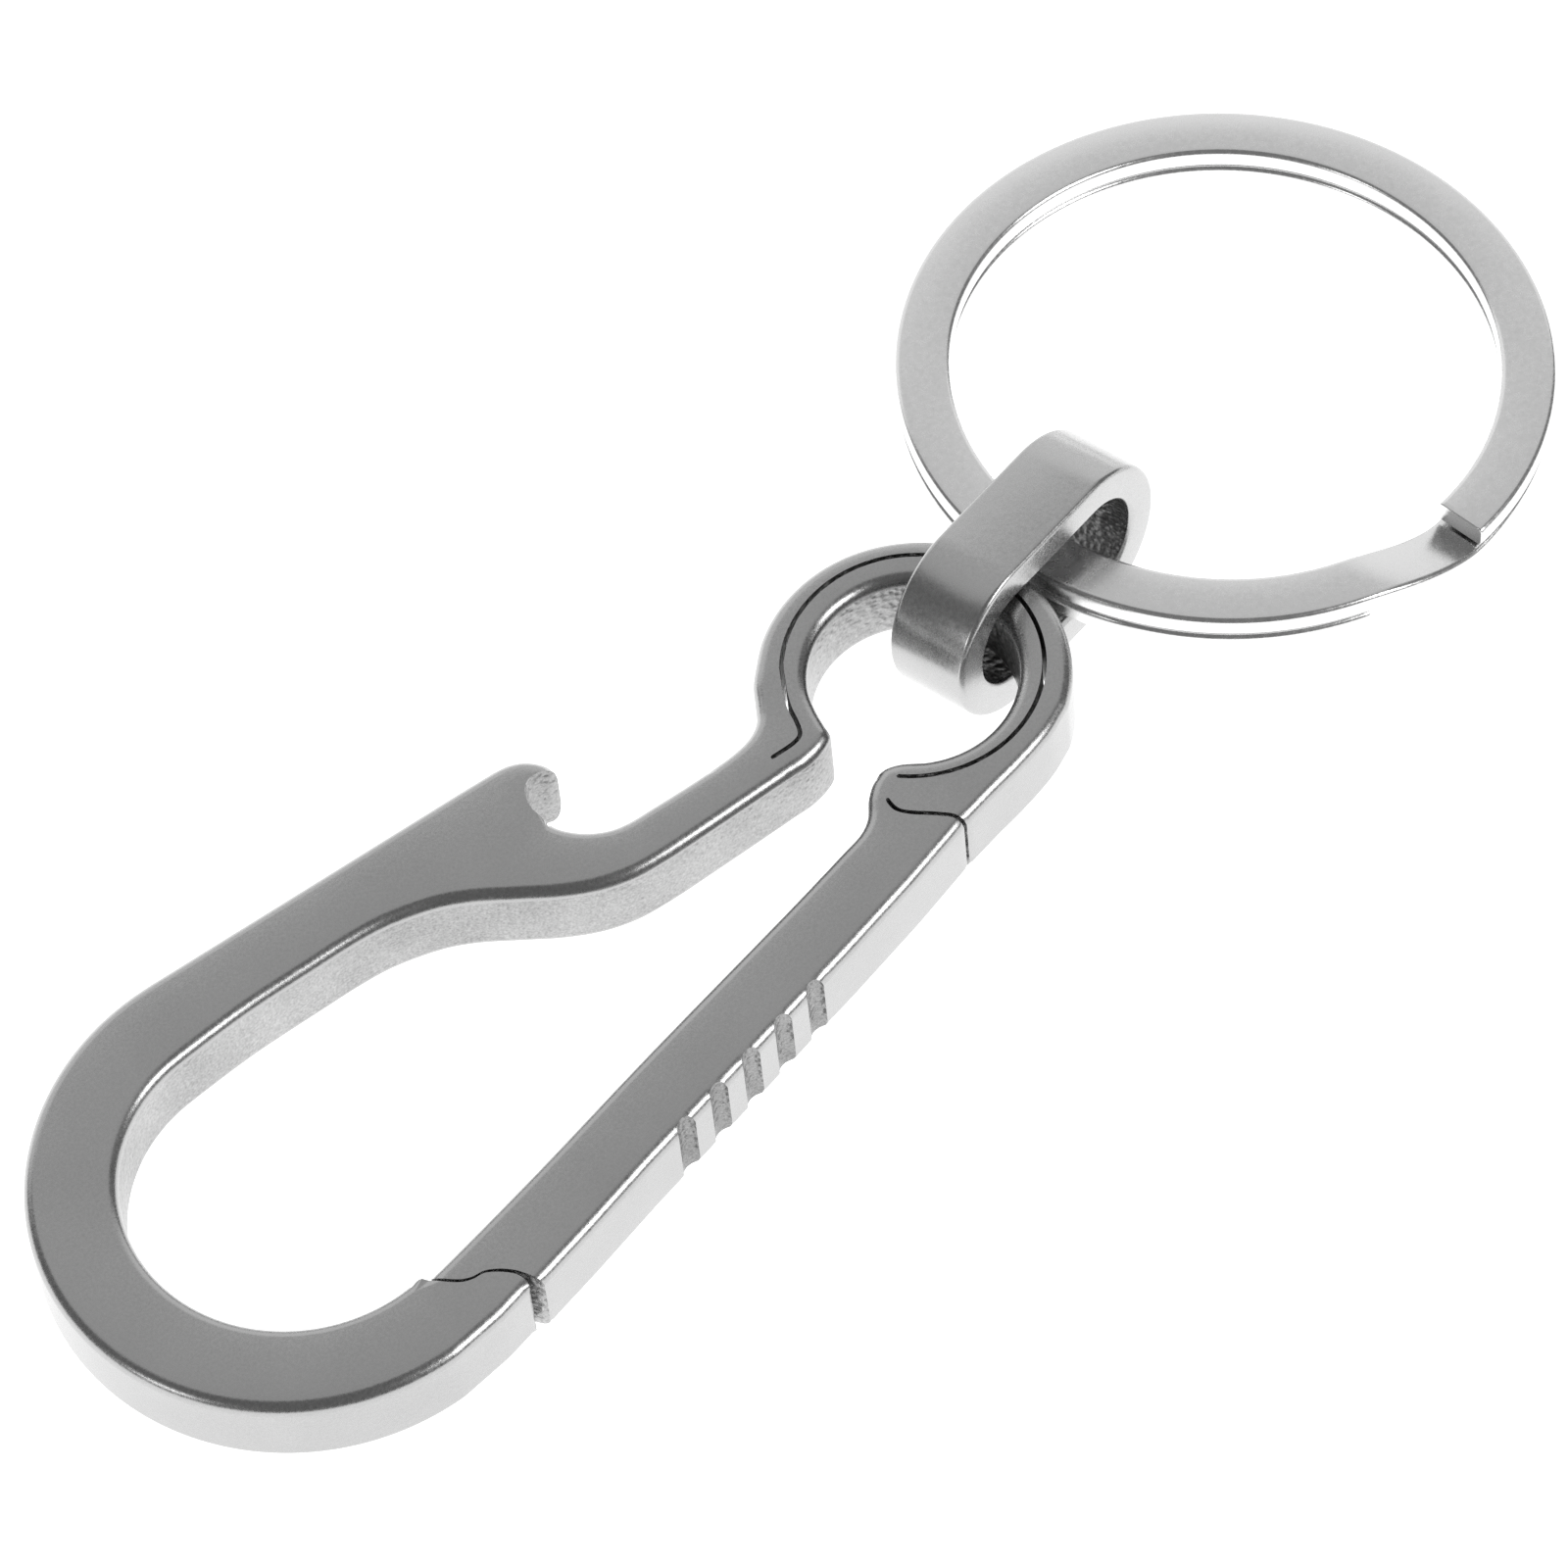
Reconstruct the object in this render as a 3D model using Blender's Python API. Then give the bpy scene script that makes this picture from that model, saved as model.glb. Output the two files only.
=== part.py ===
"""Keychain bottle opener: a one-piece sprung hook with a swing link and a split ring.

The flat body lies on the XY plane with its underside at Z = 0. The hook bend is at -X, the eye at
+X, the bottle opener on the +Y side and the gate on the -Y side. The origin is on the underside of
the spine, beside the opener. Outlines are given in millimetres from the centre of the hook bend.
"""
import math

import bmesh
import bpy
import numpy as np
from mathutils import Matrix, Vector

MM = 0.001

# ---- body plate -------------------------------------------------------------------------------
HOOK = (-20.0, -7.0)            # centre of the hook bend in the part's frame
PLATE = 5.0                     # thickness of the plate
EDGE = 0.42                     # rounding of the plate's rim
HOOK_OUT = 13.65                # outer radius of the hook bend
HOOK_IN = 8.87                  # inner radius of the hook bend
SPINE_TILT = 83.1               # where the straight back leaves the hook bend, in degrees
EYE = (42.25, 0.0)              # centre of the eye
EYE_OUT = 8.22                  # outer radius of the eye's outer leaf
SLIT = (42.46, 0.27)            # centre of the ring slit
SLIT_R = 6.785                  # radius of the ring slit's centre line
SLIT_HALF = 0.15                # half the width of the slit
LEAF = (42.3, 0.1)              # centre of the inner leaf's bore
LEAF_IN = 5.42                  # radius of the inner leaf's bore
NECK = (36.6, -4.5)             # the thin neck the gate bends about
GATE_OPEN = 12.0                # how far the gate swings inward, in degrees
NOTCHES = (15.85, 18.34, 20.83, 23.32, 25.81)   # thumb notches along the gate
NOTCH_HALF = 0.53               # half the width of a notch
NOTCH_DEEP = 0.4                # depth of a notch

# ---- link -------------------------------------------------------------------------------------
LINK_AT = (51.52, 1.85, 2.29)   # centre of the link, from the hook bend's centre
LINK_TURN = 9.7                 # turn about the vertical, in degrees
LINK_DIP = 4.8                  # outer end lowered, in degrees
LINK_LEAN = -5.0                # lean to one side, in degrees
LINK_STRAIGHT = 3.38            # half the straight run
LINK_OUT = 4.9                  # outer radius of its ends
LINK_WALL = 1.95                # thickness of the band
LINK_WIDE = 4.85                # width of the band
LINK_EDGE = 0.35                # rounding of the band's edges
LINK_PIVOT = (28.65, -5.76, 2.5)    # where the link bears on the eye, in the part's frame

# ---- split ring -------------------------------------------------------------------------------
RING_AT = (68.71, 4.55, 0.0)    # centre of the ring, between its two turns
RING_UP = (0.0922, 0.0311, 0.9953)
RING_OUT = 17.6                 # outer radius, a 35 mm key ring
RING_WIDE = 3.0                 # radial width of the flat wire
RING_THICK = 1.27               # thickness of the flat wire
RING_PITCH = 1.34               # height from one turn to the next
RING_START = -84.0              # azimuth of the upper end
RING_STEP = (250.0, 276.0)      # azimuths over which the wire steps down a layer
RING_DIP = (0.12, 276.0, 6.0)   # extra dip under the upper end: depth, azimuth and spread
RING_END = 612.0                # azimuth of the lower end
RING_EDGE = 0.28                # rounding of the wire's edges
RING_PIVOT = (32.82, -5.05, 1.55)   # middle of the wire inside the link, in the part's frame


def arc(cx, cy, r, a0, a1, step=7.0):
    """Points on a circle from angle a0 to a1 in degrees, ends included."""
    n = max(2, int(abs(a1 - a0) / step) + 1)
    a = np.radians(np.linspace(a0, a1, n))
    return np.c_[cx + r * np.cos(a), cy + r * np.sin(a)]


def curve(points, step=1.4):
    """A smooth curve through the points: centripetal spans sampled about one step apart."""
    p = np.array(points, float)
    ends = np.vstack([2 * p[0] - p[1], p, 2 * p[-1] - p[-2]])
    out = []
    for k in range(1, len(ends) - 2):
        a, b, c, d = ends[k - 1:k + 3]
        n = max(1, int(np.linalg.norm(c - b) / step + 0.5))
        t = np.linspace(0, 1, n, endpoint=False)[:, None]
        la, lb, lc = [max(1e-6, np.linalg.norm(v)) ** 0.5 for v in (b - a, c - b, d - c)]
        m0 = ((b - a) / la - (c - a) / (la + lb) + (c - b) / lb) * lb
        m1 = ((c - b) / lb - (d - b) / (lb + lc) + (d - c) / lc) * lb
        out.append((2 * t**3 - 3 * t**2 + 1) * b + (t**3 - 2 * t**2 + t) * m0
                   + (3 * t**2 - 2 * t**3) * c + (t**3 - t**2) * m1)
    out.append(p[-1:])
    return np.vstack(out)


def chain(*runs):
    """Join runs of (points, edge rounding) into one closed outline with a rounding per point."""
    pts = np.vstack([np.atleast_2d(r[0]) for r in runs])
    rnd = np.concatenate([np.full(len(np.atleast_2d(r[0])), r[1]) for r in runs])
    keep = np.linalg.norm(pts - np.roll(pts, 1, axis=0), axis=1) > 0.02
    return pts[keep], rnd[keep]


def frame_outline():
    """Hook, back, opener claw, outer leaf of the eye and its free end, down both sides."""
    back = [(1.64, 13.55), (22.4, 10.88)]
    claw = curve([(22.4, 10.88), (23.6, 10.64), (24.4, 10.22), (24.95, 9.62), (25.22, 9.05),
                  (25.24, 8.68), (24.9, 8.68), (24.3, 8.93), (23.6, 8.95), (22.95, 8.4), (22.65, 7.4),
                  (22.78, 6.4), (23.24, 5.4), (24.08, 4.5), (25.35, 3.8), (27.04, 3.48), (30.42, 3.08),
                  (32.53, 2.98), (33.63, 3.13), (34.48, 3.55), (35.15, 4.35), (35.9, 5.35),
                  (37.0, 6.3)], 0.9)
    eye = arc(*EYE, EYE_OUT, 124, -58)
    foot = curve([(46.6, -6.97), (44.78, -7.6), (42.25, -8.03), (40.56, -8.2), (38.15, -8.48)], 2.0)
    mouth = curve([(38.12, -8.40), (37.89, -7.85), (37.30, -7.09), (36.46, -6.16), (36.14, -5.72),
                   (36.06, -5.41), (36.08, -4.98)], 0.6)
    slit = arc(*SLIT, SLIT_R + SLIT_HALF, -138.6, 137)
    root = curve([(37.3, 5.0), (36.37, 3.54), (35.94, 2.68), (35.77, 2.15), (35.53, 1.61),
                  (35.33, 1.33), (34.9, 1.21), (33.46, 1.33)], 0.8)
    end = [(33.34, 1.27), (33.30, 1.18), (33.34, 1.08), (33.46, 1.03), (34.0, 1.0), (34.0, -0.15)]
    belly = curve([(33.8, -0.13), (29.57, 0.25), (25.35, 0.68), (23.66, 1.01), (21.97, 1.69),
                   (20.28, 2.79), (18.59, 4.22), (16.9, 5.66), (15.63, 6.51), (14.37, 7.1),
                   (12.67, 7.69), (10.98, 8.02), (8.45, 8.32), (4.22, 8.75), (1.0, 8.86)], 1.3)
    bend = arc(0, 0, HOOK_IN, 90, 269)
    nose = curve([(0.12, -8.92), (0.51, -9.13), (0.84, -9.55), (1.27, -10.14), (1.86, -10.73),
                  (2.37, -10.98), (2.96, -11.11), (3.55, -11.58), (4.06, -12.25), (4.22, -12.84),
                  (4.12, -13.2)], 0.6)
    lip = [(2.1, -13.5)]
    hook = arc(0, 0, HOOK_OUT, -94, -360 + SPINE_TILT)
    return chain((hook, EDGE), (back[1:], EDGE), (claw[1:], 0.18), (eye, EDGE), (foot[1:], EDGE),
                 (mouth, 0.04), (slit, 0.06), (root[1:], 0.04), (end, 0.04),
                 (belly, EDGE), (bend, EDGE), (nose, 0.2), (lip, EDGE))


def leaf_outline():
    """Inner leaf: a thin strip from the back, round the eye's bore to the gate's heel."""
    root = curve([(34.3, -0.17), (34.64, -0.21), (35.91, -0.08), (36.67, 0.25), (36.84, 0.76),
                  (37.1, 1.69), (37.45, 2.6)], 0.8)
    bore = arc(*LEAF, LEAF_IN + 0.06, 147, -127)
    tail = [(38.05, -3.43), (37.93, -3.36), (37.55, -4.15)]
    slit = arc(*SLIT, SLIT_R - SLIT_HALF, -137, 137)
    edge = curve([(37.56, 4.80), (36.63, 3.38), (36.22, 2.56), (36.05, 2.07), (35.79, 1.43),
                  (35.5, 1.04), (34.92, 0.91), (34.3, 0.96)], 0.8)
    return chain((root, 0.3), (bore, 0.35), (tail[:1], 0.2), (tail[1:], 0.04), (slit, 0.05),
                 (edge[1:], 0.04))


def gate_outline():
    """Gate lever: tongue behind the nose, thumb notches outside, heel at the neck."""
    inner = curve([(1.52, -9.27), (8.45, -8.45), (16.9, -7.31), (28.73, -5.87), (32.11, -5.41),
                   (33.8, -5.15), (34.64, -4.73), (35.49, -3.89), (36.34, -3.34), (37.18, -3.13),
                   (37.64, -3.2)], 2.6)
    heel = [(37.64, -3.24), (37.3, -3.95), (37.16, -4.1), (35.96, -4.69)]
    mouth = curve([(35.84, -4.82), (35.76, -5.41), (35.86, -5.79), (36.22, -6.34), (37.06, -7.27),
                   (37.65, -8.03), (37.86, -8.5)], 0.7)
    rim = [(33.8, -9.29), (28.73, -10.06)]
    for x in reversed(NOTCHES):
        y = -11.87 + (x - 15.21) * 0.134
        for dx, deep in ((1.0, 0.0), (0.8, 0.75), (0.25, 1.0), (-0.45, 0.75), (-1.1, 0.0)):
            rim.append((x + dx * NOTCH_HALF, y + dx * NOTCH_HALF * 0.134 + deep * NOTCH_DEEP))
    rim += [(13.2, -12.17), (8.45, -12.93), (4.9, -13.44)]
    face = curve([(4.9, -13.4), (4.6, -12.75), (4.33, -12.11), (3.77, -11.37), (3.12, -10.85),
                  (2.47, -10.70), (2.04, -10.49), (1.5, -9.94), (1.10, -9.40)], 0.7)
    return chain((inner, 0.38), (heel, 0.04), (mouth, 0.04), (rim, 0.3), (face, 0.2))


def inset(pts, amount):
    """Move each point of a closed outline to its left by its own amount, mitred at corners."""
    back = pts - np.roll(pts, 1, axis=0)
    fore = np.roll(pts, -1, axis=0) - pts
    back /= np.linalg.norm(back, axis=1)[:, None]
    fore /= np.linalg.norm(fore, axis=1)[:, None]
    n0 = np.c_[-back[:, 1], back[:, 0]]
    n1 = np.c_[-fore[:, 1], fore[:, 0]]
    mid = n0 + n1
    mid /= np.linalg.norm(mid, axis=1)[:, None]
    stretch = np.clip(1 / np.clip((mid * n0).sum(1), 0.5, 1), 1, 1.6)
    return pts + mid * (amount * stretch)[:, None]


def area(pts):
    x, y = pts.T
    return 0.5 * np.sum(x * np.roll(y, -1) - y * np.roll(x, -1))


def loft(name, rings, closed_ends, origin):
    """A skin over rings of points, each ring joined to the next; ends are capped or joined up."""
    bm = bmesh.new()
    at = Vector(origin)
    rows = [[bm.verts.new(Vector(p) * MM - at) for p in ring] for ring in rings]
    n = len(rows[0])
    pairs = list(zip(rows[:-1], rows[1:]))
    if closed_ends:
        pairs.append((rows[-1], rows[0]))
    for low, high in pairs:
        for k in range(n):
            m = (k + 1) % n
            bm.faces.new((low[k], low[m], high[m], high[k]))
    if not closed_ends:
        bm.faces.new(list(reversed(rows[0])))
        bm.faces.new(rows[-1])
    bmesh.ops.recalc_face_normals(bm, faces=bm.faces)
    mesh = bpy.data.meshes.new(name)
    bm.to_mesh(mesh)
    bm.free()
    obj = bpy.data.objects.new(name, mesh)
    obj.location = at
    return obj


def plate(name, outline, pivot):
    """The outline as a plate with its rim rounded by the amount given at each point."""
    pts, rnd = outline
    if area(pts) < 0:
        pts, rnd = pts[::-1], rnd[::-1]
    rings = []
    for turn in (0, 45, 90):
        a = math.radians(turn)
        ring = inset(pts, rnd * (1 - math.sin(a)))
        rings.append((ring, rnd * (1 - math.cos(a))))
    stack = [(xy, z) for xy, z in rings] + [(xy, PLATE - z) for xy, z in reversed(rings)]
    solid = [np.c_[xy + np.array(HOOK), z * np.ones(len(xy))] for xy, z in stack]
    return loft(name, solid, False, pivot)


def section(wide, thick, edge):
    """A flat bar's cross-section with chamfered corners, as (across, up) pairs."""
    a, b = wide / 2, thick / 2
    e = edge
    return np.array([(a - e, -b), (a - 0.29 * e, -b + 0.29 * e), (a, -b + e), (a, b - e),
                     (a - 0.29 * e, b - 0.29 * e), (a - e, b), (e - a, b),
                     (0.29 * e - a, b - 0.29 * e), (-a, b - e), (-a, e - b),
                     (0.29 * e - a, 0.29 * e - b), (e - a, -b)])


def link_axes():
    """Long, upright and width directions of the link."""
    turn = Matrix.Rotation(math.radians(LINK_TURN), 3, "Z")
    dip = Matrix.Rotation(math.radians(LINK_DIP), 3, "Y")
    lean = Matrix.Rotation(math.radians(LINK_LEAN), 3, "X")
    turned = turn @ dip @ lean
    return [np.array(turned @ Vector(v)) for v in ((1, 0, 0), (0, 0, 1), (0, -1, 0))]


def build_link():
    """A flat band bent into an oblong: the band's section carried round the oblong."""
    mid = LINK_OUT - LINK_WALL / 2
    along, up, width = link_axes()
    a = np.radians(np.linspace(-90, 90, 15))
    turn = np.r_[a, a + math.pi]
    shift = np.r_[np.full(15, LINK_STRAIGHT), np.full(15, -LINK_STRAIGHT)]
    sec = section(LINK_WALL, LINK_WIDE, LINK_EDGE)
    rings = []
    for t, s in zip(turn, shift):
        out = math.cos(t) * along + math.sin(t) * up
        base = s * along + mid * out
        rings.append(base + sec[:, :1] * out + sec[:, 1:] * width)
    centre = np.array([HOOK[0], HOOK[1], 0]) + np.array(LINK_AT)
    return loft("link", [centre + r for r in rings], True, np.array(LINK_PIVOT) * MM)


def build_ring():
    """Flat wire wound nearly twice round, stepping down one layer between its two ends."""
    up = np.array(RING_UP) / np.linalg.norm(RING_UP)
    side = np.array([1.0, 0, 0]) - up * up[0]
    side /= np.linalg.norm(side)
    other = np.cross(up, side)
    sec = section(RING_WIDE, RING_THICK, RING_EDGE)
    turn = np.r_[np.arange(RING_START, RING_STEP[0], 7.5),
                 np.linspace(RING_STEP[0], RING_STEP[1], 8),
                 np.arange(RING_STEP[1] + 4, RING_END - 2, 7.5), RING_END]
    drop = np.clip((turn - RING_STEP[0]) / (RING_STEP[1] - RING_STEP[0]), 0, 1)
    level = RING_PITCH * (0.5 - (3 * drop**2 - 2 * drop**3))
    level -= RING_DIP[0] * np.exp(-((turn - RING_DIP[1]) / RING_DIP[2]) ** 2)
    r = RING_OUT - RING_WIDE / 2
    centre = np.array([HOOK[0], HOOK[1], 0]) + np.array(RING_AT)
    rings = []
    for t, z in zip(np.radians(turn), level):
        out = math.cos(t) * side + math.sin(t) * other
        rings.append(centre + (r + sec[:, :1]) * out + (z + sec[:, 1:]) * up)
    return loft("key_ring", rings, False, np.array(RING_PIVOT) * MM)


def metal(name, rgb, rough):
    mat = bpy.data.materials.new(name)
    mat.use_nodes = True
    bsdf = mat.node_tree.nodes["Principled BSDF"]
    bsdf.inputs["Base Color"].default_value = (*rgb, 1)
    bsdf.inputs["Roughness"].default_value = rough
    bsdf.inputs["Metallic"].default_value = 1.0
    return mat


def main():
    for obj in list(bpy.data.objects):
        bpy.data.objects.remove(obj, do_unlink=True)
    home = bpy.data.collections.new("keychain_bottle_opener")
    bpy.context.scene.collection.children.link(home)
    foot = (0, 0, 0)
    neck = ((HOOK[0] + NECK[0]) * MM, (HOOK[1] + NECK[1]) * MM, PLATE / 2 * MM)
    pieces = [
        (plate("body_frame", frame_outline(), foot), metal("blasted_titanium", (0.42, 0.42, 0.42), 0.45)),
        (plate("spring_leaf", leaf_outline(), foot), metal("leaf_titanium", (0.46, 0.46, 0.46), 0.42)),
        (plate("gate", gate_outline(), neck), metal("gate_titanium", (0.40, 0.40, 0.40), 0.45)),
        (build_link(), metal("satin_titanium", (0.55, 0.55, 0.55), 0.35)),
        (build_ring(), metal("ring_steel", (0.70, 0.70, 0.70), 0.3)),
    ]
    for obj, mat in pieces:
        obj.data.materials.append(mat)
        home.objects.link(obj)
        if obj.name in ("link", "key_ring"):
            for face in obj.data.polygons:
                face.use_smooth = len(face.vertices) == 4


main()
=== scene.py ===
"""Looks of the keychain bottle opener: blasted titanium hook, satin link and flat-wire split ring."""
import math

import bmesh
import bpy
import numpy as np
from bpy.props import FloatProperty, FloatVectorProperty, PointerProperty, StringProperty
from mathutils import Euler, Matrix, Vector
from mathutils.geometry import delaunay_2d_cdt


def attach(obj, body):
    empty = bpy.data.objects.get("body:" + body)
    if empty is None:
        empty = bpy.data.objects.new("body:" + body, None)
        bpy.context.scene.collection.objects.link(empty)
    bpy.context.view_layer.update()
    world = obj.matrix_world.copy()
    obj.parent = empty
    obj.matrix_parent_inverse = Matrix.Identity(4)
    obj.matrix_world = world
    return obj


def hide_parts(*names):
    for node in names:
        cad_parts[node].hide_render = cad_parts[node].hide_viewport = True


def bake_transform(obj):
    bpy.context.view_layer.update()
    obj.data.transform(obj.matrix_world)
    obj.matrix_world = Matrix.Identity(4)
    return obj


bl_info = {
    "name": "Keychain bottle opener",
    "version": (1, 0, 0),
    "blender": (4, 5, 0),
    "location": "View3D > Sidebar > Opener",
    "description": "Builds the sprung hook, the link, the split ring and a studio stage",
    "category": "Add Mesh",
}

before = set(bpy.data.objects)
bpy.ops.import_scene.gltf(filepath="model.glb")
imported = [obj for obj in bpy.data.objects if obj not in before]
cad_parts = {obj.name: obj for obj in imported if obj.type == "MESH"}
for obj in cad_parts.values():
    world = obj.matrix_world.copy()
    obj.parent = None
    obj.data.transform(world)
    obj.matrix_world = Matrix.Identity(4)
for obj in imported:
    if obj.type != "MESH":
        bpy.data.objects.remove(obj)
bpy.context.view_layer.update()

MM = 0.001
WELD = 2e-7

# Plate of the hook, in millimetres from the centre of the hook bend
HOOK = np.array([-20.0, -7.0])      # the hook bend's centre in the part's frame
PLATE = 5.0
HOOK_OUT = 13.64
HOOK_IN = 8.87
SPINE_TILT = 83.1
EYE = (42.25, 0.0)
EYE_OUT = 8.22
SLIT = (42.46, 0.27)
SLIT_R = 6.785
SLIT_HALF = 0.12
LEAF = (42.3, 0.1)
LEAF_IN = 5.48
NECK = (36.6, -4.5)
GATE_RIM = ((4.9, 8.45, 13.2, 28.73, 33.8, 37.9), (-13.43, -12.93, -12.17, -10.06, -9.29, -8.53))
GATE_SLOPE = 0.134

# Thumb grooves in the gate's rim
NOTCHES = (15.85, 18.34, 20.83, 23.32, 25.81)
NOTCH_PITCH = 2.49
NOTCH_R = 0.67
NOTCH_BACK = 0.23                   # how far a groove's centre stands outside the rim line
NOTCH_LAND = 0.78                   # from a groove's middle to where its land starts

# Link
LINK_AT = np.array([51.52, 1.85, 2.29])
LINK_TURN, LINK_DIP, LINK_LEAN = 9.7, 4.8, -5.0
LINK_STRAIGHT = 3.38
LINK_OUT = 4.88
LINK_WALL = 1.95
LINK_WIDE = 4.81

# Split ring
RING_AT = np.array([68.71, 4.55, 0.0])
RING_UP = (0.0922, 0.0311, 0.9953)
RING_OUT = 17.58
RING_WIDE = 3.0
RING_THICK = 1.27
RING_PITCH = 1.34
RING_START, RING_END = -84.0, 612.0
RING_STEP = (250.0, 276.0)
RING_DIP = (0.12, 276.0, 6.0)

# Soft boxes: name, azimuth, elevation, width and height in metres, and glow
LIGHTS = (("back_box", 53, 64, 1.6, 0.9, 0.45), ("back_low_box", 58, 20, 2.4, 0.75, 0.85),
          ("right_box", -64, 33, 0.46, 0.40, 6.0), ("left_box", 181, 24, 0.26, 0.2, 4.0))
LIT_POINT = (0.015, -0.003, 0.0)


# ---- colours and nodes --------------------------------------------------------------------------

def linear(text):
    """An sRGB hex colour as linear red, green, blue and alpha."""
    rgb = [int(text[k:k + 2], 16) / 255 for k in (1, 3, 5)]
    return tuple(c / 12.92 if c <= 0.04045 else ((c + 0.055) / 1.055) ** 2.4 for c in rgb) + (1.0,)


def add(tree, kind, settings=None, **sockets):
    """Adds a node, sets its properties, then sets or links its named or numbered inputs."""
    node = tree.nodes.new(kind)
    for key, value in (settings or {}).items():
        setattr(node, key, value)
    for key, value in sockets.items():
        numbered = key[0] == "_" and key[1:].isdigit()
        slot = node.inputs[int(key[1:]) if numbered else key.replace("_", " ")]
        if isinstance(value, bpy.types.NodeSocket):
            tree.links.new(value, slot)
        else:
            slot.default_value = value
    return node


def ramp(tree, fac, stops):
    """A colour ramp over the given (position, colour) stops."""
    node = add(tree, "ShaderNodeValToRGB", Fac=fac)
    bar = node.color_ramp
    while len(bar.elements) < len(stops):
        bar.elements.new(0.5)
    for element, (place, colour) in zip(bar.elements, stops):
        element.position = place
        element.color = linear(colour)
    return node.outputs["Color"]


def new_material(name):
    """An empty material with its output node, and the tree it lives in."""
    mat = bpy.data.materials.new(name)
    mat.use_nodes = True
    tree = mat.node_tree
    tree.nodes.clear()
    return mat, tree, add(tree, "ShaderNodeOutputMaterial")


def metal(name, dark, light, rough, grain_mm, grain, pit_mm=0.0, pit=0.0, stretch=(1, 1, 1)):
    """A blasted, cut or satin metal.

    Its colour drifts between two tones over a few millimetres, its grain is fine noise in bump and
    roughness, and its pits are cells pressed into the surface. Sizes are in millimetres.
    """
    mat, tree, out = new_material(name)
    place = add(tree, "ShaderNodeTexCoord").outputs["Object"]
    turned = add(tree, "ShaderNodeMapping", Vector=place, Scale=stretch).outputs["Vector"]
    cloud = add(tree, "ShaderNodeTexNoise", Vector=place, Scale=1 / (6 * MM), Detail=3.0,
                Roughness=0.55).outputs["Fac"]
    fine = add(tree, "ShaderNodeTexNoise", Vector=turned, Scale=1 / (grain_mm * MM), Detail=4.0,
               Roughness=0.65).outputs["Fac"]
    drift = add(tree, "ShaderNodeMath", {"operation": "MULTIPLY_ADD"}, _0=cloud, _1=0.3, _2=0.35)
    tone = add(tree, "ShaderNodeMath", {"operation": "MULTIPLY_ADD"}, _0=fine, _1=0.7,
               _2=drift.outputs[0])
    tone = add(tree, "ShaderNodeMath", {"operation": "SUBTRACT"}, _0=tone.outputs[0], _1=0.35)
    colour = ramp(tree, tone.outputs[0], [(0.3, dark), (0.7, light)])
    spread = add(tree, "ShaderNodeMapRange", Value=fine, From_Min=0.3, From_Max=0.7,
                 To_Min=rough - 0.05, To_Max=rough + 0.06).outputs["Result"]
    bump = add(tree, "ShaderNodeBump", Height=fine, Strength=1.0, Distance=grain * MM)
    if pit:
        cells = add(tree, "ShaderNodeTexVoronoi", {"feature": "SMOOTH_F1"}, Vector=turned,
                    Scale=1 / (pit_mm * MM), Smoothness=0.6, Randomness=1.0).outputs["Distance"]
        bump = add(tree, "ShaderNodeBump", Height=cells, Strength=1.0, Distance=pit * MM,
                   Normal=bump.outputs["Normal"])
    bsdf = add(tree, "ShaderNodeBsdfPrincipled", Base_Color=colour, Metallic=1.0, Roughness=spread,
               Normal=bump.outputs["Normal"])
    tree.links.new(bsdf.outputs["BSDF"], out.inputs["Surface"])
    return mat


# ---- outlines -----------------------------------------------------------------------------------

def arc(cx, cy, r, a0, a1, step=2.0):
    """Points on a circle from angle a0 to a1 in degrees, ends included."""
    n = max(3, int(abs(a1 - a0) / step) + 1)
    a = np.radians(np.linspace(a0, a1, n))
    return np.c_[cx + r * np.cos(a), cy + r * np.sin(a)]


def curve(points):
    """A cubic spline that passes through the points, sampled finely.

    Each span is a Hermite cubic whose end slopes weigh the neighbouring chords by the root of
    their lengths, so closely set points don't make it overshoot.
    """
    p = np.array(points, float)
    ends = np.vstack([2 * p[0] - p[1], p, 2 * p[-1] - p[-2]])
    a, b, c, d = ends[:-3], ends[1:-2], ends[2:-1], ends[3:]
    la, lb, lc = (np.sqrt(np.linalg.norm(v, axis=1, keepdims=True)) for v in (b - a, c - b, d - c))
    m0 = ((b - a) / la - (c - a) / (la + lb) + (c - b) / lb) * lb
    m1 = ((c - b) / lb - (d - b) / (lb + lc) + (d - c) / lc) * lb
    t = np.linspace(0, 1, 24, endpoint=False)[:, None, None]
    s = ((2 * t**3 - 3 * t**2 + 1) * b + (t**3 - 2 * t**2 + t) * m0
         + (3 * t**2 - 2 * t**3) * c + (t**3 - t**2) * m1)
    return np.vstack([s.transpose(1, 0, 2).reshape(-1, 2), p[-1:]])


def even(pts, step, closed=True):
    """The same line with its points set evenly, about one step apart."""
    line = np.vstack([pts, pts[:1]]) if closed else pts
    gap = np.linalg.norm(np.diff(line, axis=0), axis=1)
    keep = np.r_[True, gap > 1e-6]
    line = line[keep]
    run = np.r_[0, np.cumsum(np.linalg.norm(np.diff(line, axis=0), axis=1))]
    at = np.linspace(0, run[-1], int(run[-1] / step) + 1)
    if closed:
        at = at[:-1]
    return np.c_[np.interp(at, run, line[:, 0]), np.interp(at, run, line[:, 1])]


def rim_line(x):
    """The gate's outer rim, as y over x."""
    return np.interp(x, *GATE_RIM)


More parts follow.
